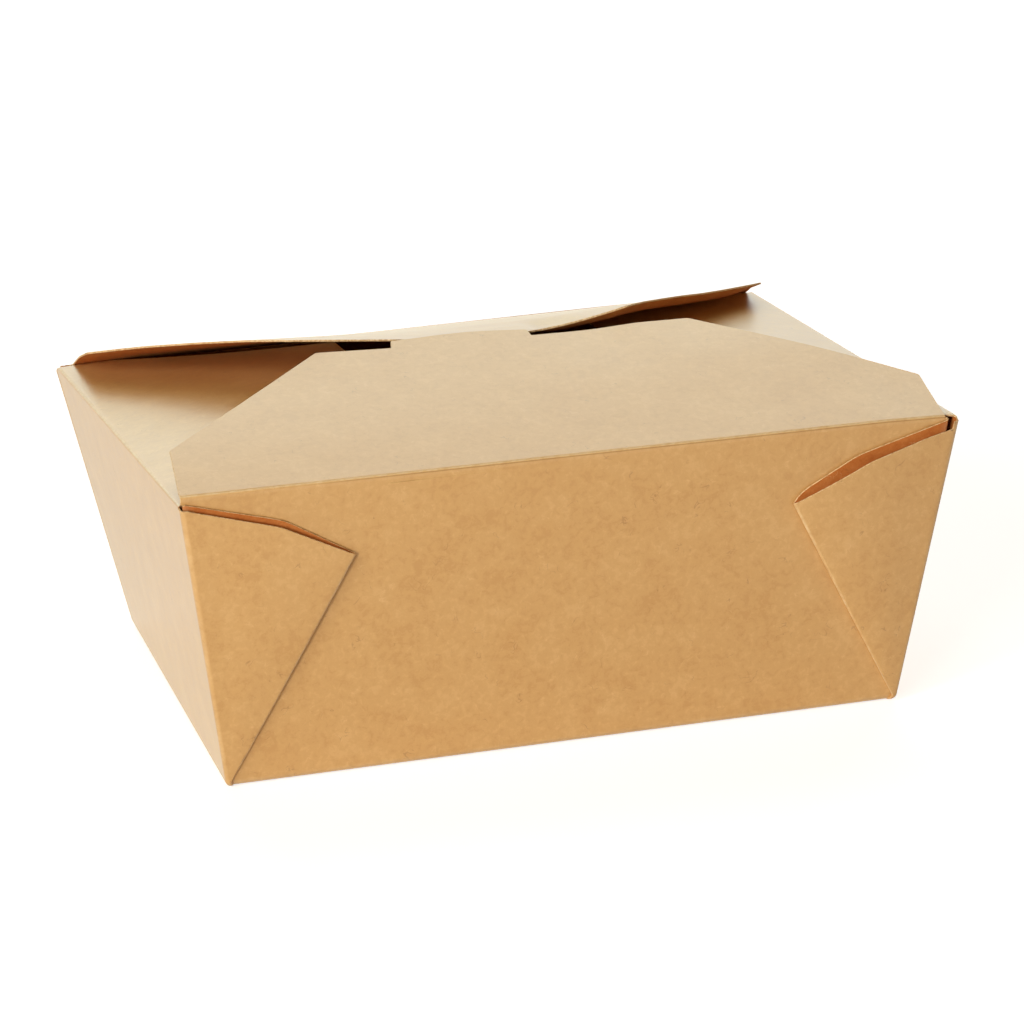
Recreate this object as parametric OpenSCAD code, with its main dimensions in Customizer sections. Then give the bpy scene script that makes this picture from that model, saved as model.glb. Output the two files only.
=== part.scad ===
// Takeaway box folded from one sheet of kraft board: a tapered tray with web corners laid
// on the long walls, two end flaps, a back flap, and a front flap that closes over them.
// Origin at the middle of the base, +Z up, front wall towards -Y.

/* [Tray] */
// Length over the end walls at the rim
top_len = 171; // [160:0.5:185]
// Depth over the long walls at the rim
top_dep = 140; // [132:0.5:150]
// Length over the end walls at the base
base_len = 148.5; // [140:0.5:158]
// Depth over the long walls at the base
base_dep = 122; // [114:0.5:130]
// Height of the end walls' top folds
rim_h = 64; // [56:0.5:80]
// Height of the front flap's fold above the rim
front_rise = 1.75; // [1.25:0.05:2.5]
// Height of the back flap's fold above the rim
back_rise = 0.5; // [0.4:0.05:1.2]

/* [Board] */
// Thickness of the board
board_t = 0.5; // [0.4:0.05:0.6]
// Radius of the folds, measured at the middle of the board
fold_r = 1; // [0.6:0.1:1.6]
// Radius of the cut corners of the flaps
cut_r = 1.5; // [0.5:0.25:3]

/* [Web corners] */
// How far a web's tip lies in from the corner of the base
web_in = 26; // [20:0.5:32]
// How far a web's tip lies below the rim
web_drop = 15; // [11:0.5:20]
// How far the bend of a web's top edge lies in from the corner of the rim
web_bend_in = 20.5; // [16:0.5:26]
// How far that bend lies below the rim
web_bend_drop = 6; // [3:0.5:9]
// Gap between a web's plies, and between the web and the wall
web_gap = 0.15; // [0.1:0.05:0.3]
// How far the loose web at the front right is puffed out at its bend
web_puff = 1.6; // [0:0.1:3]

/* [End flaps] */
// Length of an end flap from its fold
end_len = 56; // [48:0.5:60]
// Width of an end flap at its inner edge
end_tip_w = 64; // [50:0.5:76]
// Length of the full-width part of an end flap, next to its fold
end_root = 8; // [5:0.5:12]
// Slope of the end flaps up from the rim
end_slope = 7.5; // [4:0.25:9]

/* [Front flap] */
// Inset of both big flaps from the corners of the rim
flap_inset = 2.5; // [1.5:0.25:4]
// Length of the front flap to its straight far edge
front_len = 58.5; // [54:0.5:64]
// Length of the front flap's sides
front_side = 20.5; // [16:0.5:26]
// Width of the front flap's far edge
front_edge_w = 83; // [72:0.5:94]
// Slope of the front flap up from its fold
front_slope = 13; // [12:0.25:14]
// How far the front flap bulges above its chord
front_crown = 0.4; // [0:0.1:0.8]
// Width of the lock tab
tab_w = 31; // [24:0.5:38]
// Length of the lock tab at its sides
tab_len = 2.6; // [2:0.1:5]
// How far the end of the lock tab bows out
tab_bow = 1.2; // [0.4:0.1:2]
// Offset of the lock tab from the middle of the box
tab_x = -8.8; // [-12:0.2:0]

/* [Back flap] */
// Length of the back flap's sides
back_side = 20; // [16:0.5:26]
// Width of the back flap's near edge
back_edge_w = 77; // [66:0.5:88]
// Offset of the back flap's near edge from the middle of the box
back_edge_x = -7.5; // [-12:0.5:0]
// How far the back flap bulges above its chord
back_crown = 2.8; // [1.5:0.1:3.5]
// How far the back flap's wings curl up beside the tab
wing_lift = 3; // [1:0.1:4]
// How far the tab reaches over the back flap
tab_lap = 1.8; // [1:0.1:3]

/* [Clearances] */
// Gap between the front flap's fold and the front wall
hinge_gap = 0.25; // [0.2:0.05:0.35]
// Gap between the tab and the back flap below it
rest_gap = 0.25; // [0.2:0.05:0.4]
// Slot at each corner between a long wall's folded edge and the end wall
corner_slot = 0.5; // [0.3:0.1:0.8]

/* [Hidden] */

// Facets of a quarter turn of a fold, and of a round bead
fold_n = 5;
bead_n = 24;
// Height at which the webs start above the base
web_foot = 2.4;
// How far a bead of board stands proud of the faces that it joins
bead_proud = 0.03;
// Cells of the back flap's sheet, from its fold and across
back_rows = 14;
back_cols = 22;
// How late the back flap's wings start to curl, from its fold and across
wing_late = 2.5;
wing_late_across = 1.3;
// Runs of the front flap's curve
flap_runs = 12;
// How far an end flap narrows along its full-width part
root_taper = 1;
// Folded edge of a web's corner, in thicknesses of the board
corner_bends = 1.2;

// Lean of the long walls and the end walls from upright
long_lean = atan((top_dep - base_dep) / 2 / rim_h);
end_lean = atan((top_len - base_len) / 2 / rim_h);

// Outer half depth and half length of the tray at height z
function half_dep(z) = base_dep / 2 + z * tan(long_lean);
function half_len(z) = base_len / 2 + z * tan(end_lean);
// The same to the middle of the board
function mid_dep(z) = half_dep(z) - board_t / 2 / cos(long_lean);
function mid_len(z) = half_len(z) - board_t / 2 / cos(end_lean);

// Folds of the two big flaps
front_axis_z = rim_h + front_rise;
front_axis_y = -mid_dep(front_axis_z);
back_axis_z = rim_h + back_rise;
back_axis_y = mid_dep(back_axis_z);
flap_half = top_len / 2 - flap_inset;

// Front flap: heights over its fold, at a distance d in from the fold
tab_end = front_len + tab_len + tab_bow;
function front_rise_at(d) = d * tan(front_slope)
    + 4 * front_crown * d / tab_end * (1 - d / tab_end);

// Back flap: its near edge lies just under the tab
back_edge_y = front_axis_y + tab_end - tab_lap;
back_len = back_axis_y - back_edge_y;
back_edge_h = front_axis_z + front_rise_at(tab_end - tab_lap) - back_axis_z
    - board_t / cos(front_slope) - rest_gap;
function beside_tab(x) = max(0, (abs(x - tab_x) - tab_w / 2) / (back_edge_w - tab_w) * 2);
function back_rise_at(s, x) = s / back_len * back_edge_h
    + 4 * back_crown * s / back_len * (1 - s / back_len)
    + wing_lift * pow(s / back_len, wing_late) * pow(beside_tab(x), wing_late_across);
// Half-width limits of the back flap at a distance s from its fold
function back_side_x(s, side) = s <= back_side
    ? side * flap_half
    : side * flap_half + (s - back_side) / (back_len - back_side)
        * (back_edge_x + side * back_edge_w / 2 - side * flap_half);

// Web corners: the offsets of the plies from the face of the wall
web_in_ply = web_gap;
web_out_ply = web_in_ply + board_t + web_gap;
web_proud = web_out_ply + board_t;
web_fold_r = board_t + web_gap / 2;
corner_r = corner_bends * board_t;
wall_end_in = board_t / cos(end_lean) + corner_slot + web_fold_r;

function unit(v) = v / norm(v);
function side_of(v) = [-v[1], v[0]];
function reverse(list) = [for (i = [len(list) - 1 : -1 : 0]) list[i]];

// Points of an arc of radius r that rounds the corner b between a and c
function corner_arc(a, b, c, r, n) =
    let (
        u = unit(a - b),
        w = unit(c - b),
        half = acos(u * w) / 2,
        middle = b + unit(u + w) * r / sin(half),
        from = b + u * r / tan(half) - middle,
        to = b + w * r / tan(half) - middle,
        start = atan2(from[1], from[0]),
        turn = atan2(to[1], to[0]) - start,
        sweep = turn > 180 ? turn - 360 : turn < -180 ? turn + 360 : turn
    )
    [for (i = [0 : n]) middle + r * [cos(start + sweep * i / n), sin(start + sweep * i / n)]];

// An open path with its corners rounded
function rounded_path(p, r, n) = concat(
    [p[0]],
    [for (i = [1 : len(p) - 2]) each corner_arc(p[i - 1], p[i], p[i + 1], r, n)],
    [p[len(p) - 1]]);

// A path moved sideways by d, mitred at its points
function moved_path(p, d) =
    let (k = len(p), dirs = [for (i = [0 : k - 2]) side_of(unit(p[i + 1] - p[i]))])
    [for (i = [0 : k - 1])
        let (a = dirs[max(0, i - 1)], b = dirs[min(k - 2, i)])
        p[i] + (a + b) * d / (1 + a * b)];

// The cut edge of a bent board: its path thickened to the board
module board_section(path) {
    polygon(concat(moved_path(path, board_t / 2), reverse(moved_path(path, -board_t / 2))));
}

// A section drawn in Y and Z, run along X
module along_x(half) {
    rotate([90, 0, 90]) translate([0, 0, -half]) linear_extrude(2 * half) children();
}

// A section drawn in X and Z, run along Y
module along_y(half) {
    rotate([90, 0, 0]) translate([0, 0, -half]) linear_extrude(2 * half) children();
}

// A round bead of board from p to q, that runs a little past both
module bead(p, q, r) {
    run = q - p;
    past = r / 2;
    translate(p)
        rotate([0, acos(run[2] / norm(run)), atan2(run[1], run[0])])
            translate([0, 0, -past])
                cylinder(h = norm(run) + 2 * past, r = r, $fn = bead_n);
}

// The base with the long walls, ending at the walls' folded edges
module long_walls() {
    front_top = front_axis_z - board_t / 2 - hinge_gap;
    path = rounded_path([
        [-mid_dep(front_top), front_top],
        [-mid_dep(board_t / 2), board_t / 2],
        [mid_dep(board_t / 2), board_t / 2],
        [back_axis_y, back_axis_z]], fold_r, fold_n);
    intersection() {
        along_x(top_len) board_section(path);
        along_y(top_dep) polygon([
            [-half_len(0) + wall_end_in, -1],
            [half_len(0) - wall_end_in, -1],
            [half_len(front_axis_z) - wall_end_in, front_axis_z],
            [-half_len(front_axis_z) + wall_end_in, front_axis_z]]);
    }
}

// One end wall with its flap, and the strip of base at its foot
module end_wall() {
    tip = [mid_len(rim_h) - end_len * cos(end_slope), rim_h + end_len * sin(end_slope)];
    path = rounded_path([
        [mid_len(0) - wall_end_in - fold_r, board_t / 2],
        [mid_len(board_t / 2), board_t / 2],
        [mid_len(rim_h - board_t / 2), rim_h - board_t / 2],
        tip], fold_r, fold_n);
    web_face = web_proud - corner_r;
    wall = [
        [half_dep(0) - 2 * fold_r, -1],
        [half_dep(web_foot) + web_face, web_foot],
        [half_dep(rim_h - cut_r) + web_face, rim_h - cut_r],
        [half_dep(rim_h) + web_face - cut_r, rim_h + board_t]];
    root_w = half_dep(rim_h) - board_t;
    flap = [
        [top_len, -root_w],
        [half_len(rim_h) - end_root, -root_w + root_taper],
        [tip[0], -end_tip_w / 2],
        [tip[0], end_tip_w / 2],
        [half_len(rim_h) - end_root, root_w - root_taper],
        [top_len, root_w]];
    intersection() {
        along_y(top_dep) board_section(path);
        union() {
            along_x(top_len) polygon(concat(wall, [for (p = reverse(wall)) [-p[0], p[1]]]));
            translate([0, 0, rim_h - cut_r])
                linear_extrude(rim_h) polygon(rounded_path(flap, cut_r, fold_n));
        }
    }
}

// A point by the front wall: x, height z, and offset n out of the wall's face
function by_wall(x, z, n) = [
    x,
    -half_dep(z) - n * cos(long_lean),
    z - n * sin(long_lean)];

// One ply of a web: flat faces that fan out from its foot, with an offset at each corner
module web_ply(p, offs) {
    k = len(p);
    polyhedron(
        [for (face = [board_t, 0]) for (i = [0 : k - 1]) by_wall(p[i][0], p[i][1], offs[i] + face)],
        concat(
            [for (i = [1 : k - 2]) [0, i, i + 1]],
            [for (i = [1 : k - 2]) [k, k + i + 1, k + i]],
            [for (i = [0 : k - 1])
                let (j = (i + 1) % k)
                each [[i, k + i, k + j], [i, k + j, j]]]));
}

// The web at the front right: the long wall folds back on itself at its edge, folds again
// along the slant, and runs round the corner into the end wall
module web(puff) {
    wall_in = wall_end_in;
    corner_in = corner_r - bead_proud;
    top_z = rim_h - cut_r;
    foot = [half_len(web_foot), web_foot];
    tip = [base_len / 2 - web_in, rim_h - web_drop];
    bend = [top_len / 2 - web_bend_in, rim_h - web_bend_drop];
    rim = [half_len(top_z), top_z];
    web_ply(
        [foot - [wall_in, 0], tip, bend, rim - [wall_in, 0]],
        [web_in_ply, web_in_ply, web_in_ply, web_in_ply]);
    web_ply(
        [foot - [wall_in, 0], tip, bend - [0, puff / 2], rim - [corner_in, 0], foot - [corner_in, 0]],
        [web_out_ply, web_out_ply, web_out_ply + puff, web_out_ply, web_out_ply]);
    // the slanted fold between the plies
    fold_mid = (web_in_ply + web_proud) / 2;
    bead(
        by_wall(foot[0] - wall_in, foot[1], fold_mid),
        by_wall(tip[0], tip[1], fold_mid),
        web_fold_r + bead_proud);
    // the long wall's folded edge
    bead(
        by_wall(foot[0] - wall_in, foot[1], web_gap / 2),
        by_wall(rim[0] - wall_in, rim[1], web_gap / 2),
        web_fold_r + bead_proud);
    // the fold round the corner into the end wall
    bead(
        by_wall(foot[0] - corner_in, foot[1], web_proud - corner_in),
        by_wall(rim[0] - corner_in, rim[1], web_proud - corner_in),
        corner_r);
}

// The back flap: a thin sheet, bulged along its length, with its wings curled up
module back_flap() {
    function cell(i, j, lift) =
        let (
            s = i / back_rows * back_len,
            x = back_side_x(s, -1) + j / back_cols * (back_side_x(s, 1) - back_side_x(s, -1))
        )
        [x, back_axis_y - s, back_axis_z + back_rise_at(s, x) + lift];
    cols = back_cols + 1;
    count = (back_rows + 1) * cols;
    half_t = board_t / 2 / cos(end_slope);
    function quad(a, b, c, d) = [[a, b, c], [a, c, d]];
    polyhedron(
        [for (lift = [half_t, -half_t]) for (i = [0 : back_rows]) for (j = [0 : back_cols])
            cell(i, j, lift)],
        concat(
            [for (i = [0 : back_rows - 1]) for (j = [0 : back_cols - 1])
                let (a = i * cols + j)
                each concat(
                    quad(a, a + 1, a + cols + 1, a + cols),
                    quad(count + a, count + a + cols, count + a + cols + 1, count + a + 1))],
            [for (i = [0 : back_rows - 1])
                let (a = i * cols, b = a + back_cols)
                each concat(
                    quad(a, a + cols, count + a + cols, count + a),
                    quad(b, count + b, count + b + cols, b + cols))],
            [for (j = [0 : back_cols - 1])
                let (a = j, b = back_rows * cols + j)
                each concat(
                    quad(a, count + a, count + a + 1, a + 1),
                    quad(b, b + 1, count + b + 1, count + b))]));
    bead(
        [-flap_half, back_axis_y, back_axis_z],
        [flap_half, back_axis_y, back_axis_z],
        board_t / 2 + 2 * bead_proud);
}

module carton() {
    color([0.80, 0.62, 0.42]) {
        long_walls();
        for (side = [0, 1]) mirror([side, 0, 0]) end_wall();
        web(web_puff);
        mirror([1, 0, 0]) web(0);
        mirror([0, 1, 0]) web(0);
        rotate([0, 0, 180]) web(0);
        back_flap();
    }
}

// Outline of the front flap, seen from above with its fold at y = 0
function front_outline() = [
    [-flap_half, 0],
    [-flap_half + board_t, front_side],
    [-front_edge_w / 2, front_len],
    [tab_x - tab_w / 2, front_len - board_t],
    [tab_x - tab_w / 2, front_len + tab_len],
    [tab_x, tab_end],
    [tab_x + tab_w / 2, front_len + tab_len],
    [tab_x + tab_w / 2, front_len - board_t],
    [front_edge_w / 2, front_len],
    [flap_half - board_t, front_side],
    [flap_half, 0]];

module front_flap() {
    path = [for (i = [0 : flap_runs])
        let (d = i / flap_runs * (tab_end + board_t))
        [d, front_rise_at(d)]];
    color([0.86, 0.76, 0.61])
        translate([0, front_axis_y, front_axis_z]) {
            intersection() {
                along_x(flap_half) board_section(path);
                translate([0, 0, -1]) linear_extrude(rim_h) polygon(front_outline());
            }
            bead([-flap_half, 0, 0], [flap_half, 0, 0], board_t / 2);
        }
}

carton();
front_flap();
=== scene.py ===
import math

import bpy
import numpy as np
from mathutils import Matrix, Vector, geometry


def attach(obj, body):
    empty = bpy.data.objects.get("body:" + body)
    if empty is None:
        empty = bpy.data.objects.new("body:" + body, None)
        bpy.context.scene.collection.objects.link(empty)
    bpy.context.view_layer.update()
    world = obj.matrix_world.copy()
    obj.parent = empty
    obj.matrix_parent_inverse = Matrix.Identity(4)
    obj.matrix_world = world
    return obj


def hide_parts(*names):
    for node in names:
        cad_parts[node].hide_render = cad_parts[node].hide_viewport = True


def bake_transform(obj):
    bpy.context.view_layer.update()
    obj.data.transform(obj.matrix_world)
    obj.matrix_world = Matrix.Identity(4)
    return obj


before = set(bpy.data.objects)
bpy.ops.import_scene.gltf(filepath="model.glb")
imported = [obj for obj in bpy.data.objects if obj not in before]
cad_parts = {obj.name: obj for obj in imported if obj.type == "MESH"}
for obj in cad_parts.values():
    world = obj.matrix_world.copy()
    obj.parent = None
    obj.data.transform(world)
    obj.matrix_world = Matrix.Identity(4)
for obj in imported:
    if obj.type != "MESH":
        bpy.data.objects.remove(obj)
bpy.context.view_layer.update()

# Sizes, in millimetres
MM = 0.001
BOARD = 0.42
HALF = BOARD / 2
# Points this close are one point: steps of a millimetre
MERGE_STEPS = 2000
# How the cut edges are eased, as shares of the board and of half of it
EDGE_BEVEL = 0.16
EDGE_DEPTH = 0.6
JOINED_DEPTH = 0.38

# Tray: outer half sizes at the base and at the rim
BASE_X = 74.25
BASE_Y = 61.0
RIM_X = 85.5
RIM_Y = 70.0
RIM_Z = 64.0
FOOT_Z = 1.6
BASE_IN = 1.9
LONG_LEAN = math.atan((RIM_Y - BASE_Y) / RIM_Z)

# How far each corner stands from the true shape, as fitted to the photograph: (x, y, z) at the
# base and at the rim
SKEW = {
    (-1, -1): ((-3.05, 0.25, 0.0), (0.22, 0.2, 0.62)),
    (1, -1): ((-1.9, -0.25, 0.0), (-0.3, 0.2, 0.85)),
    (-1, 1): ((2.4, 5.4, 0.0), (0.2, -0.5, 0.05)),
    (1, 1): ((1.25, 1.0, 0.0), (-0.2, -0.9, 0.45)),
}

# Hinge of the front flap, as the part's motion has it
HINGE_Y = -69.994
HINGE_Z = 65.75
FLAP_SLOPE = math.radians(13.0)


def half_depth(z):
    """Outer half depth of the true tray at a height."""
    return BASE_Y + (RIM_Y - BASE_Y) * z / RIM_Z


def half_length(z):
    """Outer half length of the true tray at a height."""
    return BASE_X + (RIM_X - BASE_X) * z / RIM_Z


def smooth(value, low, high):
    """0 below low, 1 above high, and a soft step between."""
    t = np.clip((np.asarray(value, float) - low) / (high - low), 0.0, 1.0)
    return t * t * (3.0 - 2.0 * t)


def settle(points):
    """The true tray's points moved to where this box's slightly skewed board lies."""
    p = np.asarray(points, float)
    z = np.clip(p[..., 2] / RIM_Z, 0.0, 1.0)
    reach_x = BASE_X + (RIM_X - BASE_X) * z
    reach_y = BASE_Y + (RIM_Y - BASE_Y) * z
    u = np.clip((1.0 + p[..., 0] / reach_x) / 2.0, 0.0, 1.0)
    v = np.clip((1.0 + p[..., 1] / reach_y) / 2.0, 0.0, 1.0)
    out = p.copy()
    for (sx, sy), (low, high) in SKEW.items():
        weight = (u if sx > 0 else 1.0 - u) * (v if sy > 0 else 1.0 - v)
        for axis in range(3):
            out[..., axis] += weight * (low[axis] * (1.0 - z) + high[axis] * z)
    return out


def bezier(a, b, c, count):
    """Points of a soft fold from a to c, with its sharp corner at b."""
    t = np.linspace(0.0, 1.0, count)[:, None, None]
    return a * (1 - t) ** 2 + b * 2 * t * (1 - t) + c * t ** 2


# The folded sheet
class Sheet:
    """The middle of a folded board: points, faces between them, and how worn each point is; a value
    below 0 is painted shade.
    """

    def __init__(self):
        self.points = []
        self.worn = []
        self.joined = []
        self.faces = []

    def grid(self, points, worn=None, turned=False, joined=()):
        """Adds rows and columns of points, joined by faces. Rows in joined go on in another piece."""
        rows, cols = points.shape[:2]
        start = len(self.points)
        worn = np.zeros((rows, cols)) if worn is None else np.broadcast_to(worn, (rows, cols))
        flush = np.zeros((rows, cols), bool)
        for row in joined:
            flush[row] = True
        self.points.extend(points.reshape(-1, 3).tolist())
        self.worn.extend(worn.reshape(-1).tolist())
        self.joined.extend(flush.reshape(-1).tolist())
        for i in range(rows - 1):
            for j in range(cols - 1):
                a = start + i * cols + j
                face = (a, a + 1, a + cols + 1, a + cols)
                self.faces.append(face[::-1] if turned else face)

    def board(self, name):
        """A mesh object of the sheet with its thickness: outside, cut edges, inside."""
        keys, index, points, worn, flush = {}, [], [], [], []
        for p, w, joined in zip(self.points, self.worn, self.joined):
            key = tuple(int(round(c * MERGE_STEPS)) for c in p)
            if key not in keys:
                keys[key] = len(points)
                points.append(p)
                worn.append(w)
                flush.append(joined)
            if abs(w) > abs(worn[keys[key]]):
                worn[keys[key]] = w
            index.append(keys[key])
        faces = []
        for face in self.faces:
            ring = []
            for i in face:
                if index[i] not in ring:
                    ring.append(index[i])
            if len(ring) > 2:
                faces.append(ring)
        points = np.array(points)
        normals = np.zeros_like(points)
        for ring in faces:
            corners = points[ring]
            area = np.zeros(3)
            for k in range(1, len(ring) - 1):
                area += np.cross(corners[k] - corners[0], corners[k + 1] - corners[0])
            normals[ring] += area
        normals /= np.maximum(np.linalg.norm(normals, axis=1), 1e-12)[:, None]
        edges = {}
        for ring in faces:
            for a, b in zip(ring, ring[1:] + ring[:1]):
                edges[(a, b)] = edges.get((a, b), 0) + 1
        open_edges = [(a, b) for (a, b) in edges if (b, a) not in edges]
        ring_points = sorted({i for edge in open_edges for i in edge})
        inward = np.zeros_like(points)
        for a, b in open_edges:
            run = points[b] - points[a]
            for i in (a, b):
                inward[i] += np.cross(normals[i], run)
        length = np.maximum(np.linalg.norm(inward, axis=1), 1e-12)[:, None]
        inward /= length
        flush = np.array(flush, float)[:, None]
        inward *= 1.0 - flush
        bevel = EDGE_BEVEL * BOARD
        count = len(points)
        outer = points + normals * HALF + inward * bevel
        inner = points - normals * HALF + inward * bevel
        rim_of = {p: k for k, p in enumerate(ring_points)}
        depth = HALF * (EDGE_DEPTH + JOINED_DEPTH * flush[ring_points])
        rim_a = points[ring_points] + normals[ring_points] * depth
        rim_b = points[ring_points] - normals[ring_points] * depth
        verts = np.vstack([outer, inner, rim_a, rim_b]) * MM
        outside = [tuple(r) for r in faces]
        shell = outside + [tuple(count + i for i in reversed(r)) for r in faces]
        cut = []
        first, second = 2 * count, 2 * count + len(ring_points)
        for a, b in open_edges:
            ra, rb = rim_of[a], rim_of[b]
            cut.append((b, a, first + ra, first + rb))
            cut.append((first + rb, first + ra, second + ra, second + rb))
            cut.append((second + rb, second + ra, count + a, count + b))
        mesh = bpy.data.meshes.new(name)
        mesh.from_pydata([tuple(v) for v in verts], [], shell + cut)
        mesh.update()
        sharp = np.zeros(len(mesh.edges), bool)
        for polygon in mesh.polygons[len(shell):]:
            for loop in polygon.loop_indices:
                sharp[mesh.loops[loop].edge_index] = True
        mesh.edges.foreach_set("use_edge_sharp", sharp)
        fold_wear_and_shade = np.array(worn)
        values = np.concatenate([fold_wear_and_shade, fold_wear_and_shade, fold_wear_and_shade[ring_points], fold_wear_and_shade[ring_points]])
        attribute = mesh.attributes.new("worn", "FLOAT", "POINT")
        attribute.data.foreach_set("value", values.astype(np.float32))
        for polygon in mesh.polygons:
            polygon.use_smooth = polygon.index < len(shell)
            inside = polygon.index >= len(outside)
            # Inside faces take the darker kraft copy that paints their shade
            polygon.material_index = (2 if inside else 0) if polygon.index < len(shell) else 1
        obj = bpy.data.objects.new(name, mesh)
        bpy.context.scene.collection.objects.link(obj)
        return obj


# Web corners
PLY_GAP = 0.3
FOOT_GAP = 0.08
CORNER_R = 1.05
FOOT_R = 0.7
FOOT_SLOT = 0.95
WEB_BELOW_RIM = 0.3
# Direction of the tip's slanted fold, in x and height
TIP_SLANT = np.array([-0.894, -0.447])
# How worn a web's folded edge and its corner fold are
EDGE_WEAR = 0.35
CORNER_WEAR = 0.25


class Web:
    """One web corner: where its tip and the bends of its two top edges lie, in x and height.

    puff and belly swell the outer ply, at its top edge and at half height. loose is the gap between
    the plies, slot the gap to the end wall, rise, drop and lift the heights of its folds."""

    def __init__(self, sx, sy, tip, inner, outer, puff, loose, slot,
                 rise=0.0, drop=0.9, belly=0.1, lift=0.0):
        self.sx = sx
        self.sy = sy
        self.tip = tip
        self.inner = inner
        self.outer = outer
        self.puff = puff
        self.loose = loose
        self.slot = slot
        self.rise = rise
        self.drop = drop
        self.belly = belly
        self.lift = lift


WEBS = {
    (-1, -1): Web(-1, -1, tip=(47.92, 49.55), inner=[(63.2, 58.5)], outer=[(64.1, 57.7)],
                  puff=0.35, loose=0.85, slot=1.35, rise=0.6, drop=0.25, belly=0.15),
    (1, -1): Web(1, -1, tip=(48.6, 48.8), inner=[(50.8, 51.2), (62.9, 57.7)],
                 outer=[(65.3, 56.8), (77.7, 60.2)],
                 puff=1.25, loose=0.6, slot=2.7, rise=-0.55, drop=2.2, lift=1.6),
    (-1, 1): Web(-1, 1, tip=(48.3, 49.0), inner=[(64.4, 58.9)], outer=[(64.9, 58.0)],
                 puff=0.3, loose=0.2, slot=1.6),
    (1, 1): Web(1, 1, tip=(48.2, 49.1), inner=[(64.0, 59.0)], outer=[(64.6, 58.1)],
                puff=0.5, loose=0.25, slot=1.7),
}


def along(points, count):
    """Points at even steps along a line of straight runs, softened at its bends."""
    p = np.asarray(points, float)
    run = np.r_[0.0, np.cumsum(np.linalg.norm(np.diff(p, axis=0), axis=1))]
    s = np.linspace(0.0, run[-1], count)
    line = np.stack([np.interp(s, run, p[:, k]) for k in range(p.shape[1])], axis=1)
    soft = line.copy()
    soft[1:-1] = (line[:-2] + 2 * line[1:-1] + line[2:]) / 4
    return soft


def web_columns(web, high):
    """The web's run from the long wall round both plies to the end wall, at its top edge or foot.

    Each column is x, height, and the offset out of the long wall's face."""
    z_end = RIM_Z - WEB_BELOW_RIM if high else FOOT_Z
    wall_x = half_length(z_end) - (web.slot if high else FOOT_SLOT)
    gap_a = PLY_GAP if high else FOOT_GAP
    gap_b = web.loose if high else FOOT_GAP
    r1 = (BOARD + gap_a) / 2
    n_a = gap_a + HALF
    n_b = gap_a + BOARD + gap_b + HALF
    rise = web.rise if high else 0.0
    r2 = (n_b - n_a) / 2
    r3 = CORNER_R if high else FOOT_R
    corner_x = half_length(z_end) - HALF - r3
    if high:
        inner = [(wall_x, z_end + rise)] + list(reversed(web.inner)) + [web.tip]
        outer = [web.tip] + list(web.outer) + [(corner_x, z_end - web.drop)]
    else:
        tip = (wall_x - 0.15, z_end)
        inner = [(wall_x, z_end), ((wall_x + tip[0]) / 2, z_end), tip]
        outer = [tip, ((tip[0] + corner_x) / 2, z_end), (corner_x, z_end)]
    columns = []
    for phi in np.linspace(0.0, math.pi, 9):
        columns.append((wall_x + r1 * math.sin(phi), z_end + rise * phi / math.pi,
                        gap_a / 2 - r1 * math.cos(phi), EDGE_WEAR))
    for x, z in along(inner, 26)[1:-1]:
        columns.append((x, z, n_a, 0.0))
    tip = outer[0]
    for phi in np.linspace(0.0, math.pi, 11):
        x = tip[0] + TIP_SLANT[0] * r2 * (math.sin(phi) - 1)
        z = tip[1] + (TIP_SLANT[1] * r2 * (math.sin(phi) - 1) if high else 0.0)
        columns.append((x, z, (n_a + n_b) / 2 - r2 * math.cos(phi), math.sin(phi)))
    run = along(outer, 30)
    for k, (x, z) in enumerate(run[1:-1]):
        t = (k + 1) / (len(run) - 1)
        swell = web.puff * math.sin(math.pi * t ** 0.8) ** 1.2 if high else 0.0
        columns.append((x, z, n_b + swell, 0.0))
    lift = web.lift if high else 0.0
    columns.append((corner_x - (0.35 if high else 0.02), outer[-1][1], n_b, 0.0))
    for phi in np.linspace(0.0, math.pi / 2, 8):
        columns.append((corner_x + r3 * math.sin(phi), outer[-1][1] + lift,
                        n_b - r3 + r3 * math.cos(phi), CORNER_WEAR * math.sin(2 * phi)))
    return np.array(columns)


def belly(web, columns):
    """How far each column of a web stands out of its straight line at half height."""
    near, far = columns[:, 2].min(), columns[:, 2].max()
    share = smooth(columns[:, 2], near + 0.3 * (far - near), near + 0.75 * (far - near))
    out = np.zeros((len(columns), 3))
    out[:, 1] = web.sy * web.belly * share * (1.0 - smooth(columns[:, 0], 66.0, 78.0))
    return out


def place(web, columns):
    """A web's columns as points of the true tray."""
    x, z, n = columns[:, 0], columns[:, 1], columns[:, 2]
    return np.stack([
        web.sx * x,
        web.sy * (half_depth(z) + n * math.cos(LONG_LEAN)),
        z - n * math.sin(LONG_LEAN)], axis=1)


# End walls, from their foot to the rim and from front to back
LEVELS = np.r_[0.0, 0.006, 0.015, np.linspace(0.03, 0.97, 40), 0.985, 0.994, 1.0]
WALL_SHARES = np.r_[-1.0, -0.99, np.linspace(-0.97, 0.97, 55), 0.99, 1.0]
FOLD_ROWS = 9
FOLD_WEAR = 0.15
# How far the rounded fold at the foot pulls in from the sharp one
FOOT_PULL = 0.9


def wall_line(sx, start, end):
    """A level line of points across an end wall, between the webs at its two sides."""
    z = np.linspace(start[2], end[2], len(WALL_SHARES))
    y = (start[1] + end[1]) / 2 + WALL_SHARES * (end[1] - start[1]) / 2
    return np.stack([sx * (half_length(z) - HALF), y, z], axis=1)


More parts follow.
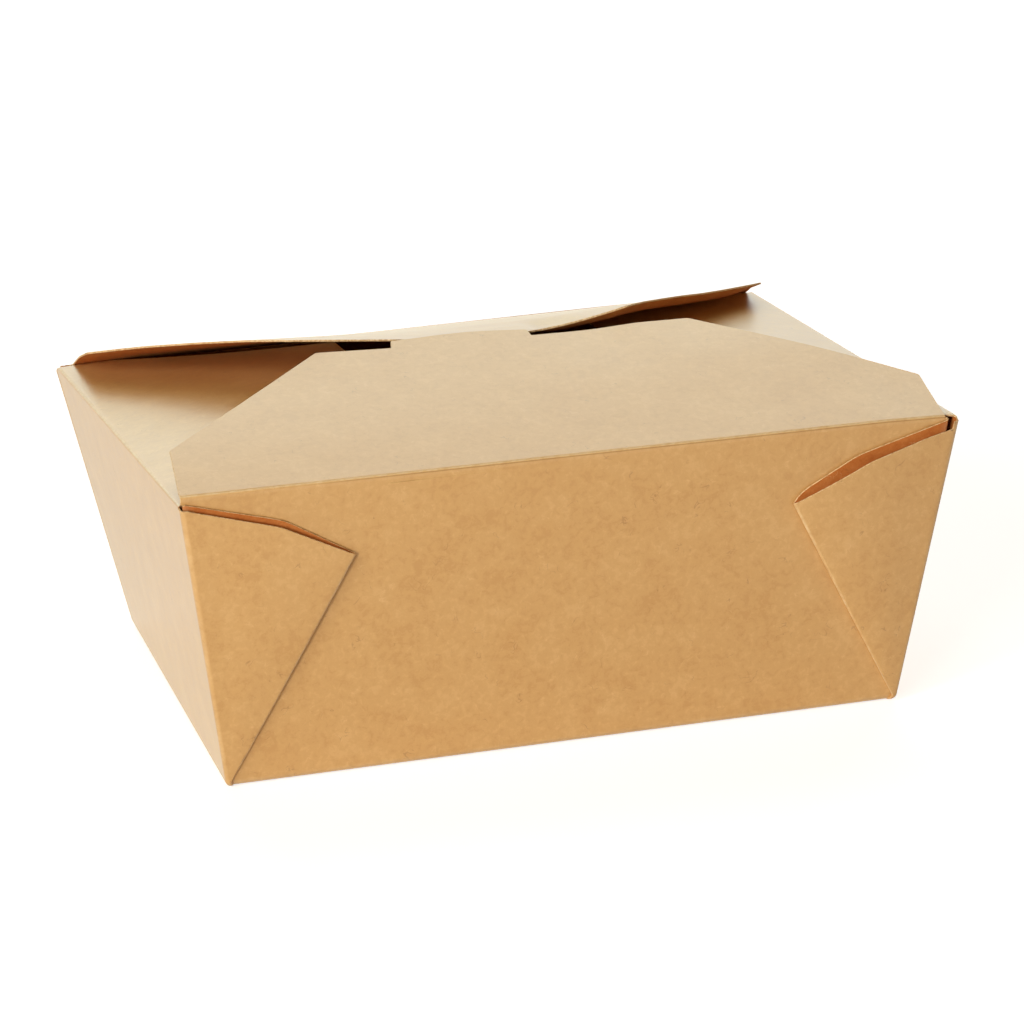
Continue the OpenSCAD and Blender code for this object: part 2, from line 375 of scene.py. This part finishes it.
def end_patch(sheet, sx):
    """One end: the end wall, its flap, and the webs at its two sides."""
    front, back = WEBS[(sx, -1)], WEBS[(sx, 1)]
    tops, feet, worn, corners, swells = [], [], [], [], []
    for web in (front, back):
        top, foot = web_columns(web, True), web_columns(web, False)
        order = slice(None) if web is front else slice(None, None, -1)
        tops.append(place(web, top)[order])
        feet.append(place(web, foot)[order])
        worn.append(top[:, 3][order])
        swells.append(belly(web, top)[order])
        corners.append(np.tile([sx * (BASE_X - BASE_IN), web.sy * (BASE_Y - BASE_IN), HALF],
                               (len(top), 1)))
    shares = WALL_SHARES
    wall_top = wall_line(sx, tops[0][-1], tops[1][0])
    wall_foot = wall_line(sx, feet[0][-1], feet[1][0])
    top = np.vstack([tops[0], wall_top[1:-1], tops[1]])
    foot = np.vstack([feet[0], wall_foot[1:-1], feet[1]])
    fold_wear_and_shade = np.r_[worn[0], np.zeros(len(shares) - 2), worn[1]]
    base = np.vstack([
        corners[0],
        np.stack([np.full(len(shares) - 2, sx * (BASE_X - BASE_IN)),
                  shares[1:-1] * (BASE_Y - BASE_IN),
                  np.full(len(shares) - 2, HALF)], axis=1),
        corners[1]])
    sharp = foot.copy()
    sharp[:, 2] = HALF
    lean = (BASE_X - half_length(FOOT_Z)) * FOOT_PULL
    sharp[:, 0] += sx * lean
    sharp[:, 1] = base[:, 1] + (sharp[:, 1] - base[:, 1]) * 0.98
    fold = bezier(base[None], sharp[None], foot[None], FOLD_ROWS)
    wall = foot[None] + LEVELS[1:, None, None] * (top - foot)[None]
    swell = np.vstack([swells[0], np.zeros((len(shares) - 2, 3)), swells[1]])
    wall += np.sin(math.pi * LEVELS[1:, None, None]) * swell[None]
    points = np.concatenate([fold, wall], axis=0)
    rows = np.zeros((len(points), len(fold_wear_and_shade)))
    rows[FOLD_ROWS - 1:] = fold_wear_and_shade[None] * (0.35 + 0.65 * np.sin(LEVELS * 9.0) ** 2)[:, None]
    rows[1:FOLD_ROWS - 1] = FOLD_WEAR
    sheet.grid(settle(points), rows, turned=sx < 0)
    first = len(tops[0]) - 1
    end_flap(sheet, sx, points[-1, first:first + len(shares)])
    return points


# End flaps: length, widths behind and in front at the fold, at END_ROOT and at the inner edge
END_LENGTH = {-1: 58.3, 1: 54.6}
END_BEHIND = {-1: (69.3, 67.2, 30.5), 1: (69.3, 68.4, 32.0)}
END_BEFORE = (69.0, 67.6, 32.0)
END_ROOT = 10
END_SLOPE = math.radians(7.5)
END_FOLD_WIDTH = 69.3
END_FOLD_LOW = 0.32
# How far each sags towards the back, and both bulge
END_SAG = {-1: 1.4, 1: 0.0}
END_CROWN = 0.9
# Gaps to the big flaps that press the end flaps down
UNDER_FRONT = 0.2
UNDER_BACK = 0.15


def end_flap(sheet, sx, root):
    """An end flap, on the end wall's own columns, pressed down where a big flap lies on it."""
    length = END_LENGTH[sx]
    over = sx * (half_length(RIM_Z) - HALF)
    share = root[:, 1] / np.abs(root[:, 1]).max()
    reach = np.r_[1.1, 1.5, 2.2, np.linspace(3.5, length, 34)]
    behind = np.interp(reach, [0, END_ROOT, length], END_BEHIND[sx])
    before = np.interp(reach, [0, END_ROOT, length], END_BEFORE)
    fold_z = RIM_Z - END_FOLD_LOW
    rows = []
    for e, w, v in zip(reach, behind, before):
        arch = math.sin(math.pi * e / length)
        rows.append(np.stack([
            over - sx * e * math.cos(END_SLOPE) * np.ones(len(share)),
            np.where(share > 0, share * w, share * v),
            fold_z + e * math.sin(END_SLOPE) + END_CROWN * arch * (1 - 0.3 * share ** 2)
            - END_SAG[sx] * arch * smooth(share, 0.2, 1.0)], axis=1))
    flap = np.stack(rows)
    crest = np.stack([np.full(len(share), over), share * END_FOLD_WIDTH, np.full(len(share), fold_z)],
                     axis=1)
    start = crest + (root - crest) * 0.55
    turn = bezier(start[None], crest[None], flap[0][None], 8)
    strip = np.concatenate([root[None], turn, flap[1:]], axis=0)
    fold_wear_and_shade = np.zeros((len(strip), len(share)))
    fold_wear_and_shade[4:6] = 0.8
    strip = settle(strip)
    above = flap_place(strip[1:, :, 0], (strip[1:, :, 1] - CREASE_Y) / math.cos(FLAP_SLOPE))
    pressed = np.minimum(strip[1:, :, 2], above[..., 2] - BOARD - UNDER_FRONT)
    strip[1:, :, 2] = np.where(strip[1:, :, 1] < -20.0, pressed, strip[1:, :, 2])
    run = np.clip((BACK_FOLD_Y - strip[1:, :, 1]) / BACK_RUN, 0.0, BACK_END)
    under = np.clip(strip[1:, :, 0], back_edge(run, 0), back_edge(run, 1))
    pressed = np.minimum(strip[1:, :, 2], RIM_Z + back_height(run, under) - BOARD - UNDER_BACK)
    strip[1:, :, 2] = np.where(strip[1:, :, 1] > 0.0, pressed, strip[1:, :, 2])
    sheet.grid(strip, fold_wear_and_shade, turned=sx < 0)


# Long walls, base and back flap
CREASE_IN = 1.6
FOLD_REACH = 0.5
CREASE_Y = HINGE_Y + 0.21
CREASE_Z = HINGE_Z - 0.02
CREASE_RISE = -0.0080
CREASE_ENDS = (-84.7, 82.3)
# How far the front flap bulges, dips near the tab's right end and drops beside it
FLAP_BULGE = 0.35
FLAP_DIP = 0.35
FLAP_DROP = 0.3


def crease(x):
    """The front crease's middle, in y and z, at x: it runs a little uphill to the left."""
    x = np.asarray(x, float)
    z = CREASE_Z + CREASE_RISE * x - 0.3 * smooth(x, 66.0, 83.0)
    return np.full_like(x, CREASE_Y), z


def front_run(x, d):
    """Middle of the board at x: d below 0 is down the front wall, above 0 is up the front flap."""
    y, z = crease(x)
    down = np.array([math.sin(LONG_LEAN), -math.cos(LONG_LEAN)])
    r = FOLD_REACH
    if d <= -r:
        return np.stack([x, y - d * down[0], z - d * down[1]], axis=1)
    if d >= r:
        return flap_place(x, np.full_like(x, d))
    t = (d + r) / (2 * r)
    a = np.stack([x, y + r * down[0], z + r * down[1]], axis=1)
    c = flap_place(x, np.full_like(x, r))
    b = np.stack([x, y, z], axis=1)
    return a * (1 - t) ** 2 + b * 2 * t * (1 - t) + c * t ** 2


def flap_place(x, d):
    """A point of the front flap's middle, at x and a distance up from its crease."""
    y, z = crease(x)
    far = smooth(d, 10.0, 50.0)
    high = z * (1 - far) + (CREASE_Z - 0.1) * far + d * math.sin(FLAP_SLOPE)
    high = high + FLAP_BULGE * np.sin(np.pi * np.clip(d / 62.0, 0, 1))
    dip = np.exp(-((x - 20.0) / 11.0) ** 2) * smooth(d, 30.0, 60.0) * FLAP_DIP
    lower = smooth(x, 28.0, 44.0) * smooth(d, 35.0, 60.0) * FLAP_DROP
    return np.stack([x, y + d * math.cos(FLAP_SLOPE), high - dip - lower], axis=-1)


BACK_EDGES = ((-81.2, -46.3), (81.9, 31.0))
BACK_SIDE = 20.0
BACK_FOLD_Y = 69.4
BACK_RUN = 0.97
BACK_END = 79.0
BACK_FOLD_LOW = 0.55
# Rows of the base, from front to back
BASE_SHARES = np.r_[-1.0, np.linspace(-0.97, 0.97, 55), 1.0]


def back_edge(s, side):
    """The back flap's left or right edge, in x, at a distance from its fold."""
    root = -81.4 if side == 0 else 83.6
    wide, narrow = BACK_EDGES[side]
    return np.interp(s, [0, BACK_SIDE, BACK_END], [root, wide, narrow])


def back_height(s, x):
    """Height of the back flap's middle over the rim: its wings stand up, its right edges curl."""
    left = np.interp(s, [0, 4, 10, 20, 29, 38, 52, 65, 77, 79],
                     [-0.45, 1.3, 3.7, 6.65, 8.75, 10.75, 13.5, 15.85, 17.7, 17.9])
    right = np.interp(s, [0, 4, 10, 20, 30, 38.5, 47, 55, 63.5, 71.5, 79],
                      [-0.75, 0.9, 3.3, 6.05, 7.9, 9.5, 11.2, 13.0, 14.75, 16.35, 17.5])
    middle = np.interp(s, [0, 2, 8, 20, 28, 37, 46, 60, 70, 77, 79],
                       [-0.6, -0.1, 1.3, 4.2, 6.1, 8.0, 9.9, 12.3, 13.5, 13.95, 14.0])
    at_left = np.clip((-9.0 - x) / (-9.0 - back_edge(s, 0)), 0.0, 1.0)
    at_right = np.clip((x - 6.0) / (back_edge(s, 1) - 6.0), 0.0, 1.0)
    at_left = at_left ** (2.2 - 1.25 * smooth(s, 25.0, 65.0))
    at_right = at_right ** (5.0 - 3.4 * smooth(s, 20.0, 60.0))
    curl = 1.5 * smooth(x, 8.0, 14.0) * smooth(s, 16.0, 26.0)
    aside = (back_edge(s, 1) - x) * 0.75
    reach = np.minimum(aside, BACK_END - s)
    hollow = (1.0 - np.clip(1.0 - reach / 5.5, 0.0, 1.0) ** 2) * (1.0 - smooth(reach, 7.0, 20.0))
    return middle + (left - middle) * at_left + (right - middle) * at_right - curl * hollow


def long_walls(sheet, ends):
    """Front wall, base and back wall in one strip, with the back flap at its far end."""
    shares = np.r_[-1.0, -0.994, np.linspace(-0.98, 0.98, 65), 0.994, 1.0]
    mix = ((shares + 1) / 2)[None, :, None]
    for side in (-1, 1):
        column = 0 if side < 0 else -1
        left, right = ends[-1][:, column], ends[1][:, column]
        wall = left[:, None] * (1 - mix) + right[:, None] * mix
        foot = wall[FOLD_ROWS - 1]
        base = np.stack([shares * (BASE_X - BASE_IN),
                         np.full(len(shares), side * (BASE_Y - BASE_IN)),
                         np.full(len(shares), HALF)], axis=1)
        sharp = foot.copy()
        sharp[:, 2] = HALF
        sharp[:, 1] -= side * FOOT_Z * math.tan(LONG_LEAN) * FOOT_PULL
        fold = bezier(base[None], sharp[None], foot[None], FOLD_ROWS)
        fold[:, 0], fold[:, -1] = left[:FOLD_ROWS], right[:FOLD_ROWS]
        wall = np.concatenate([fold, wall[FOLD_ROWS:]], axis=0)
        fold_wear_and_shade = np.zeros((len(wall), len(shares)))
        fold_wear_and_shade[1:FOLD_ROWS - 1] = FOLD_WEAR
        placed = settle(wall)
        sheet.grid(placed, fold_wear_and_shade, turned=side > 0)
        top = placed[-1]
        if side < 0:
            x = np.interp(shares, [-1, 1], CREASE_ENDS)
            edge = front_run(x, -CREASE_IN)
            rows = np.stack([top + (edge - top) * t for t in (0.0, 0.5, 0.95, 1.0)])
            sheet.grid(rows, joined=(-1,))
        else:
            back_fold(sheet, top, shares)
    grid = np.array([[(sx * (BASE_X - BASE_IN), sy * (BASE_Y - BASE_IN), HALF)
                      for sx in shares] for sy in BASE_SHARES])
    sheet.grid(settle(grid), turned=True)


def back_fold(sheet, top, shares):
    """The rounded fold at the top of the back wall, and the back flap beyond it."""
    lengths = np.r_[1.6, 2.4, 3.6, np.linspace(5.5, 70.0, 36), np.linspace(71.0, BACK_END, 11)]
    spread = np.r_[shares[:-8], np.linspace(shares[-9], 1.0, 9)[1:]]
    fold_z = RIM_Z - BACK_FOLD_LOW
    rows = []
    for s in lengths:
        x = np.interp(spread, [-1, 1], [back_edge(s, 0), back_edge(s, 1)])
        h = back_height(s, x)
        rows.append(np.stack([x, np.full_like(x, BACK_FOLD_Y - s * BACK_RUN), RIM_Z + h], axis=1))
    rows = np.array(rows)
    crest = np.stack([rows[0][:, 0], np.full(len(shares), BACK_FOLD_Y), np.full(len(shares), fold_z)],
                     axis=1)
    turn = bezier(top[None], crest[None], rows[0][None], 12)
    strip = np.concatenate([turn, rows[1:]], axis=0)
    fold_wear_and_shade = np.zeros((len(strip), len(shares)))
    fold_wear_and_shade[4:9] = np.array([0.3, 0.7, 0.8, 0.7, 0.3])[:, None]
    sheet.grid(strip, fold_wear_and_shade, turned=True)


def front_strip():
    """The crease between the front wall and the front flap: a pale worn line, and on its right part a
    painted shade line under it.
    """
    sheet = Sheet()
    left, right = CREASE_ENDS
    x = np.r_[left, left + 0.5, np.linspace(left + 2, right - 2, 82), right - 0.5, right]
    steps = np.r_[-CREASE_IN, -1.55, -1.3, np.linspace(-1.1, 0.8, 20), 1.1, 1.55, CREASE_IN]
    rows = np.array([front_run(x, d) for d in steps])
    pale = np.exp(-((steps - 0.06) / 0.16) ** 2)
    pale += 0.15 * smooth(steps, -1.05, -0.8) * (1 - smooth(steps, -0.45, -0.3))
    # A thin dark line under the pale one on the crease's right part: painted shade, carried as a value
    # below 0
    dark = 0.8 * np.exp(-((steps + 0.22) / 0.12) ** 2)
    fold_wear_and_shade = pale[:, None] - dark[:, None] * smooth(x, -75.0, -35.0)[None]
    sheet.grid(rows, fold_wear_and_shade, joined=(0, -1))
    return sheet.board("front_crease")


# Front flap: its outline, in x and the distance up from its crease
CORNER_EASE = 0.6
EDGE_STEP = 2.0
PANEL_STEP = 1.9
FLAP_OUTLINE = [
    (CREASE_ENDS[0], CREASE_IN), (-82.5, 20.4), (-41.3, 60.6), (-24.7, 58.8), (-23.9, 62.4),
    (-18.2, 62.6), (-12.4, 62.9), (-6.7, 62.9), (-1.2, 62.3), (4.3, 61.4), (6.8, 61.0),
    (7.0, 57.8), (14.8, 57.9), (22.8, 58.1), (31.0, 58.5), (43.3, 58.4), (83.6, 19.4),
    (CREASE_ENDS[1], CREASE_IN)]
# Corners that stay sharp: the crease's two ends and the two roots of the tab
SHARP_CORNERS = (0, len(FLAP_OUTLINE) - 1, 3, 11)


def rounded(outline, radius, keep):
    """An outline in the plane with its corners rounded, and points along its runs."""
    out = []
    k = len(outline)
    for i, b in enumerate(outline):
        b = Vector(b)
        a, c = Vector(outline[i - 1]), Vector(outline[(i + 1) % k])
        u, w = (a - b).normalized(), (c - b).normalized()
        r = min(radius, 0.4 * (a - b).length, 0.4 * (c - b).length)
        corner = [b] if i in keep else [
            (b + u * r) * (1 - t) ** 2 + b * 2 * t * (1 - t) + (b + w * r) * t ** 2
            for t in (0, 0.25, 0.5, 0.75, 1)]
        out.extend(corner)
    full = []
    for i, p in enumerate(out):
        q = out[(i + 1) % len(out)]
        count = max(1, int((q - p).length / EDGE_STEP))
        full.extend([p.lerp(q, j / count) for j in range(count)])
    return full


def flat_panel(outline, step):
    """Triangles that fill an outline, with an even field of points inside it."""
    edge = [Vector(p) for p in outline]
    count = len(edge)
    points = list(edge)
    xs = [p.x for p in edge]
    ys = [p.y for p in edge]
    rows = int((max(ys) - min(ys)) / step) + 1
    for i in range(1, rows):
        y = min(ys) + i * step
        shift = 0.5 * step * (i % 2)
        cols = int((max(xs) - min(xs)) / step) + 1
        for j in range(1, cols):
            p = Vector((min(xs) + j * step + shift, y))
            inside = False
            near = False
            for k in range(count):
                a, b = edge[k], edge[(k + 1) % count]
                if (a.y > p.y) != (b.y > p.y):
                    if p.x < a.x + (p.y - a.y) / (b.y - a.y) * (b.x - a.x):
                        inside = not inside
                if (a - p).length < 0.55 * step:
                    near = True
            if inside and not near:
                points.append(p)
    loops = [(k, (k + 1) % count) for k in range(count)]
    made = geometry.delaunay_2d_cdt(points, loops, [list(range(count))], 1, 1e-5)
    return made[0], made[2]


def front_panel():
    """The front flap with its lock tab."""
    outline = rounded(FLAP_OUTLINE, CORNER_EASE, SHARP_CORNERS)
    flat, faces = flat_panel(outline, PANEL_STEP)
    sheet = Sheet()
    x = np.array([p.x for p in flat])
    d = np.array([p.y for p in flat])
    sheet.points = flap_place(x, d).tolist()
    sheet.worn = [0.0] * len(x)
    sheet.joined = (d < CREASE_IN + 1e-6).tolist()
    for face in faces:
        a, b, c = [Vector(flat[i]) for i in face[:3]]
        turn = (b - a).cross(c - a)
        sheet.faces.append(tuple(face) if turn > 0 else tuple(reversed(face)))
    return sheet.board("front_flap_board")


def carton_board():
    """Everything that stays put: tray, webs, end flaps and back flap."""
    sheet = Sheet()
    ends = {sx: end_patch(sheet, sx) for sx in (-1, 1)}
    long_walls(sheet, ends)
    return sheet.board("carton_board")


# Shader maths
class Sock:
    """A shader value that takes part in Python maths."""

    def __init__(self, tree, socket):
        self.tree = tree
        self.socket = socket

    def _math(self, operation, *values):
        return node(self.tree, "ShaderNodeMath", {"operation": operation}, values)

    def __add__(self, other):
        return self._math("ADD", self, other)

    def __radd__(self, other):
        return self._math("ADD", other, self)

    def __sub__(self, other):
        return self._math("SUBTRACT", self, other)

    def __rsub__(self, other):
        return self._math("SUBTRACT", other, self)

    def __mul__(self, other):
        return self._math("MULTIPLY", self, other)

    def __rmul__(self, other):
        return self._math("MULTIPLY", other, self)

    def __neg__(self):
        return self._math("MULTIPLY", self, -1.0)

    def size(self):
        return self._math("ABSOLUTE", self)

    def step(self, low, high):
        """0 below low, 1 above high, soft between."""
        return node(self.tree, "ShaderNodeMapRange", {"interpolation_type": "SMOOTHSTEP"},
                    [self, low, high, 0.0, 1.0])


def put(tree, target, value):
    """Sets a socket, or links it."""
    if isinstance(value, Sock):
        tree.links.new(value.socket, target)
    elif hasattr(target.default_value, "__len__"):
        value = tuple(value)
        target.default_value = value + (1.0,) if len(value) < len(target.default_value) else value
    else:
        target.default_value = value


def node(tree, kind, settings=None, values=(), output=0):
    """Any node: its settings first, then its sockets, by place or by name."""
    made = tree.nodes.new(kind)
    for key, value in (settings or {}).items():
        setattr(made, key, value)
    pairs = values.items() if isinstance(values, dict) else enumerate(values)
    for key, value in pairs:
        put(tree, made.inputs[key], value)
    return Sock(tree, made.outputs[output])


def blend_colours(tree, factor, a, b):
    """Colour a, turning into b with the factor."""
    made = tree.nodes.new("ShaderNodeMix")
    made.data_type = "RGBA"
    put(tree, made.inputs["Factor"], factor)
    put(tree, made.inputs[6], a)
    put(tree, made.inputs[7], b)
    return Sock(tree, made.outputs[2])


def noise(tree, place_at, scale, detail=2.0, distortion=0.0):
    """Noise in space, around 0.5."""
    return node(tree, "ShaderNodeTexNoise", {"noise_dimensions": "3D"},
                {"Vector": place_at, "Scale": scale, "Detail": detail, "Distortion": distortion})


def object_place(tree):
    """Where a point of the piece lies."""
    coord = tree.nodes.new("ShaderNodeTexCoord")
    return Sock(tree, coord.outputs["Object"])


def new_material(name):
    """An empty material with one shader."""
    material = bpy.data.materials.new(name)
    material.use_nodes = True
    tree = material.node_tree
    tree.nodes.clear()
    out = tree.nodes.new("ShaderNodeOutputMaterial")
    shader = tree.nodes.new("ShaderNodeBsdfPrincipled")
    tree.links.new(shader.outputs[0], out.inputs[0])
    return material, tree, shader


def srgb(r, g, b):
    """A colour as read off a picture, 0 to 255, in linear light."""
    return tuple((c / 255 / 12.92) if c < 11 else ((c / 255 + 0.055) / 1.055) ** 2.4
                 for c in (r, g, b))


# The board's inside face: darker, more orange copies of the kraft tones, painted shade for the box's
# shaded inner faces and pockets
PAINTED_SHADE_INSIDE = srgb(193, 115, 54)
PAINTED_SHADE_INSIDE_DARK = srgb(184, 105, 47)
PAINTED_SHADE_INSIDE_LIGHT = srgb(200, 124, 62)
KRAFT = srgb(209, 163, 100)
KRAFT_DARK = srgb(203, 155, 92)
KRAFT_LIGHT = srgb(215, 171, 109)
KRAFT_WORN = srgb(238, 214, 168)
# The crease's dark line: painted shade
KRAFT_CREASE_SHADE = srgb(150, 104, 52)
FIBRE_DARK = srgb(150, 100, 55)
FIBRE_LIGHT = srgb(236, 200, 142)
CUT_EDGE = srgb(234, 202, 150)
CUT_EDGE_DARK = srgb(196, 152, 98)


def fibres(tree, place_at, scale, bend, width, patches, share):
    """Thin pressed hairs: their scale, bend and width, and the scale and share of their patches."""
    line = (noise(tree, place_at, scale, 1.5, bend) - 0.5).size()
    mask = noise(tree, place_at, patches, 1.0).step(*share)
    return (1.0 - line.step(*width)) * mask


def kraft(name, tones, gloss):
    """Kraft board: soft clouds, short pressed fibres, a pale line where a fold is worn, and painted
    dark shade where the value is below 0.

    tones are its dark, middle and light colours, gloss its least roughness and refraction."""
    material, tree, shader = new_material(name)
    place_at = object_place(tree)
    cloud = noise(tree, place_at, 110.0, 3.0, 0.3)
    grain = noise(tree, place_at, 620.0, 3.0, 0.6)
    fine = noise(tree, place_at, 2600.0, 2.0)
    tone = cloud * 0.35 + grain * 0.45 + fine * 0.2
    colour = blend_colours(tree, tone.step(0.38, 0.50), tones[0], tones[1])
    colour = blend_colours(tree, tone.step(0.50, 0.62), colour, tones[2])
    dark = fibres(tree, place_at, 330.0, 0.7, (0.002, 0.014), 260.0, (0.62, 0.68))
    colour = blend_colours(tree, dark * 0.35, colour, FIBRE_DARK)
    light = fibres(tree, place_at, 400.0, 0.9, (0.004, 0.02), 310.0, (0.58, 0.66))
    colour = blend_colours(tree, light * 0.22, colour, FIBRE_LIGHT)
    worn = node(tree, "ShaderNodeAttribute", {"attribute_name": "worn"}, (), 2)
    scuff = noise(tree, place_at, 700.0, 3.0).step(0.38, 0.60)
    colour = blend_colours(tree, worn * (0.35 + 0.4 * scuff), colour, KRAFT_WORN)
    # Values below 0 paint the crease's dark shade line
    colour = blend_colours(tree, -worn, colour, KRAFT_CREASE_SHADE)
    put(tree, shader.inputs["Base Color"], colour)
    put(tree, shader.inputs["Roughness"], gloss[0] + 0.14 * grain)
    shader.inputs["IOR"].default_value = gloss[1]
    height = grain * 0.5 + fine * 0.35 + cloud * 0.6 - dark * 0.2
    bump = node(tree, "ShaderNodeBump", {},
                {"Strength": 0.25, "Distance": 0.00005, "Height": height})
    put(tree, shader.inputs["Normal"], bump)
    return material


def cut_edge(name):
    """The pale, mottled cut edge of the board."""
    material, tree, shader = new_material(name)
    fibre = noise(tree, object_place(tree), 1500.0, 3.0, 0.5)
    colour = blend_colours(tree, fibre.step(0.3, 0.65), CUT_EDGE_DARK, CUT_EDGE)
    put(tree, shader.inputs["Base Color"], colour)
    shader.inputs["Roughness"].default_value = 0.85
    bump = node(tree, "ShaderNodeBump", {},
                {"Strength": 0.5, "Distance": 0.0001, "Height": fibre})
    put(tree, shader.inputs["Normal"], bump)
    return material


# The pieces and their bodies
board_finish = kraft("kraft_board", (KRAFT_DARK, KRAFT, KRAFT_LIGHT), (0.25, 1.5))
edge_finish = cut_edge("kraft_cut_edge")
# Inside faces: the kraft with the darker tones that paint their shade
inside_painted_shade_finish = kraft("kraft_inside_painted_shade", (PAINTED_SHADE_INSIDE_DARK, PAINTED_SHADE_INSIDE, PAINTED_SHADE_INSIDE_LIGHT), (0.60, 1.25))

carton = carton_board()
crease_strip = front_strip()
flap = front_panel()
for piece in (carton, crease_strip, flap):
    piece.data.materials.append(board_finish)
    piece.data.materials.append(edge_finish)
    piece.data.materials.append(inside_painted_shade_finish)

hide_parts("carton")
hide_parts("front_flap")
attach(carton, "carton")
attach(flap, "front_flap")
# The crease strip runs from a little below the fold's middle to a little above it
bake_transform(crease_strip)


# Stage, light and camera
def ray_masks(tree):
    """1 where the camera looks straight on, and 1 where it does or a mirrored or passing ray lands."""
    path = tree.nodes.new("ShaderNodeLightPath")
    seen = Sock(tree, path.outputs["Is Camera Ray"])
    mirrored = Sock(tree, path.outputs["Is Glossy Ray"])
    through = Sock(tree, path.outputs["Is Transmission Ray"])
    any_seen = node(tree, "ShaderNodeMath", {"operation": "ADD", "use_clamp": True},
                    [seen + mirrored, through])
    return seen, any_seen


def stage_floor():
    """A white floor that takes the box's shadow."""
    mesh = bpy.data.meshes.new("floor")
    s = 3.0
    mesh.from_pydata([(-s, -s, 0), (s, -s, 0), (s, s, 0), (-s, s, 0)], [], [(0, 1, 2, 3)])
    obj = bpy.data.objects.new("floor", mesh)
    bpy.context.scene.collection.objects.link(obj)
    obj.location.z = -0.0002
    material = bpy.data.materials.new("floor_paper")
    material.use_nodes = True
    tree = material.node_tree
    tree.nodes.clear()
    out = tree.nodes.new("ShaderNodeOutputMaterial")
    seen, any_seen = ray_masks(tree)
    matt = node(tree, "ShaderNodeBsdfDiffuse", {}, {"Color": (0.82, 0.82, 0.82)})
    glow = node(tree, "ShaderNodeEmission", {}, {"Color": (1.0, 1.0, 1.0), "Strength": 0.7})
    cool = node(tree, "ShaderNodeEmission", {}, {"Color": (0.72, 0.86, 0.82), "Strength": 1.0})
    bright = node(tree, "ShaderNodeAddShader", {}, [matt, glow])
    sheen = node(tree, "ShaderNodeAddShader", {}, [matt, cool])
    mixed = node(tree, "ShaderNodeMixShader", {}, [any_seen, matt, sheen])
    mixed = node(tree, "ShaderNodeMixShader", {}, [seen, mixed, bright])
    tree.links.new(mixed.socket, out.inputs[0])
    mesh.materials.append(material)


def white_world():
    """White where the camera looks, a warm room for the rest, and a bright one for reflections."""
    world = bpy.data.worlds.new("studio")
    bpy.context.scene.world = world
    world.use_nodes = True
    tree = world.node_tree
    tree.nodes.clear()
    out = tree.nodes.new("ShaderNodeOutputWorld")
    seen, any_seen = ray_masks(tree)
    room = node(tree, "ShaderNodeBackground", {}, {"Color": (1.0, 0.55, 0.22), "Strength": 0.17})
    white = node(tree, "ShaderNodeBackground", {}, {"Color": (1, 1, 1), "Strength": 1.0})
    coord = tree.nodes.new("ShaderNodeTexCoord")
    direction = Sock(tree, coord.outputs["Generated"])
    height = node(tree, "ShaderNodeSeparateXYZ", {}, [direction], 2)
    tint = blend_colours(tree, height.step(0.15, 0.32), (0.96, 1.0, 0.98), (0.79, 1.0, 0.76))
    glossy = node(tree, "ShaderNodeBackground", {}, {"Color": tint, "Strength": 1.78})
    mixed = node(tree, "ShaderNodeMixShader", {}, [any_seen, room, glossy])
    mixed = node(tree, "ShaderNodeMixShader", {}, [seen, mixed, white])
    tree.links.new(mixed.socket, out.inputs[0])


def lamp(name, place_at, aim, size, power):
    """A soft lamp that shines from a place towards its aim."""
    data = bpy.data.lights.new(name, "AREA")
    data.shape = "RECTANGLE"
    data.size, data.size_y = size
    data.energy = power
    obj = bpy.data.objects.new(name, data)
    bpy.context.scene.collection.objects.link(obj)
    obj.location = place_at
    obj.rotation_euler = (Vector(aim) - Vector(place_at)).to_track_quat("-Z", "Y").to_euler()


# The camera as fitted to the photograph: angles, target and distance in millimetres, focal length
AZIMUTH = math.radians(-15.1182)
ELEVATION = math.radians(15.2536)
ROLL = math.radians(-2.7512)
TARGET = (4.263, -0.072, 35.3313)
DISTANCE = 1033.2469
FOCAL_PIXELS = 4584.12
PICTURE_PIXELS = 1024.0
SENSOR = 36.0


def camera():
    """The camera, turned to its target and rolled."""
    azimuth, elevation, roll = AZIMUTH, ELEVATION, ROLL
    target = Vector(TARGET) * MM
    back = Vector((math.sin(azimuth) * math.cos(elevation),
                   -math.cos(azimuth) * math.cos(elevation),
                   math.sin(elevation)))
    side = (-back).cross(Vector((0, 0, 1))).normalized()
    over = side.cross(-back)
    right = side * math.cos(roll) + over * math.sin(roll)
    up = over * math.cos(roll) - side * math.sin(roll)
    data = bpy.data.cameras.new("camera")
    data.sensor_width = SENSOR
    data.lens = FOCAL_PIXELS * SENSOR / PICTURE_PIXELS
    data.clip_start, data.clip_end = 0.05, 20.0
    obj = bpy.data.objects.new("camera", data)
    bpy.context.scene.collection.objects.link(obj)
    place_at = target + back * (DISTANCE * MM)
    obj.matrix_world = Matrix((
        (right.x, up.x, back.x, place_at.x),
        (right.y, up.y, back.y, place_at.y),
        (right.z, up.z, back.z, place_at.z),
        (0, 0, 0, 1)))
    bpy.context.scene.camera = obj


stage_floor()
white_world()
lamp("key", (-0.97, -0.77, 0.72), (0.0, 0.0, 0.05), (0.45, 0.45), 6.3)
lamp("fill", (-0.82, -1.16, 0.2), (0.0, 0.0, 0.03), (0.35, 0.3), 10.2)
lamp("back", (0.30, 0.86, 0.84), (0.0, 0.0, 0.07), (1.2, 1.0), 6.4)
camera()
bpy.context.scene.view_settings.view_transform = "Standard"
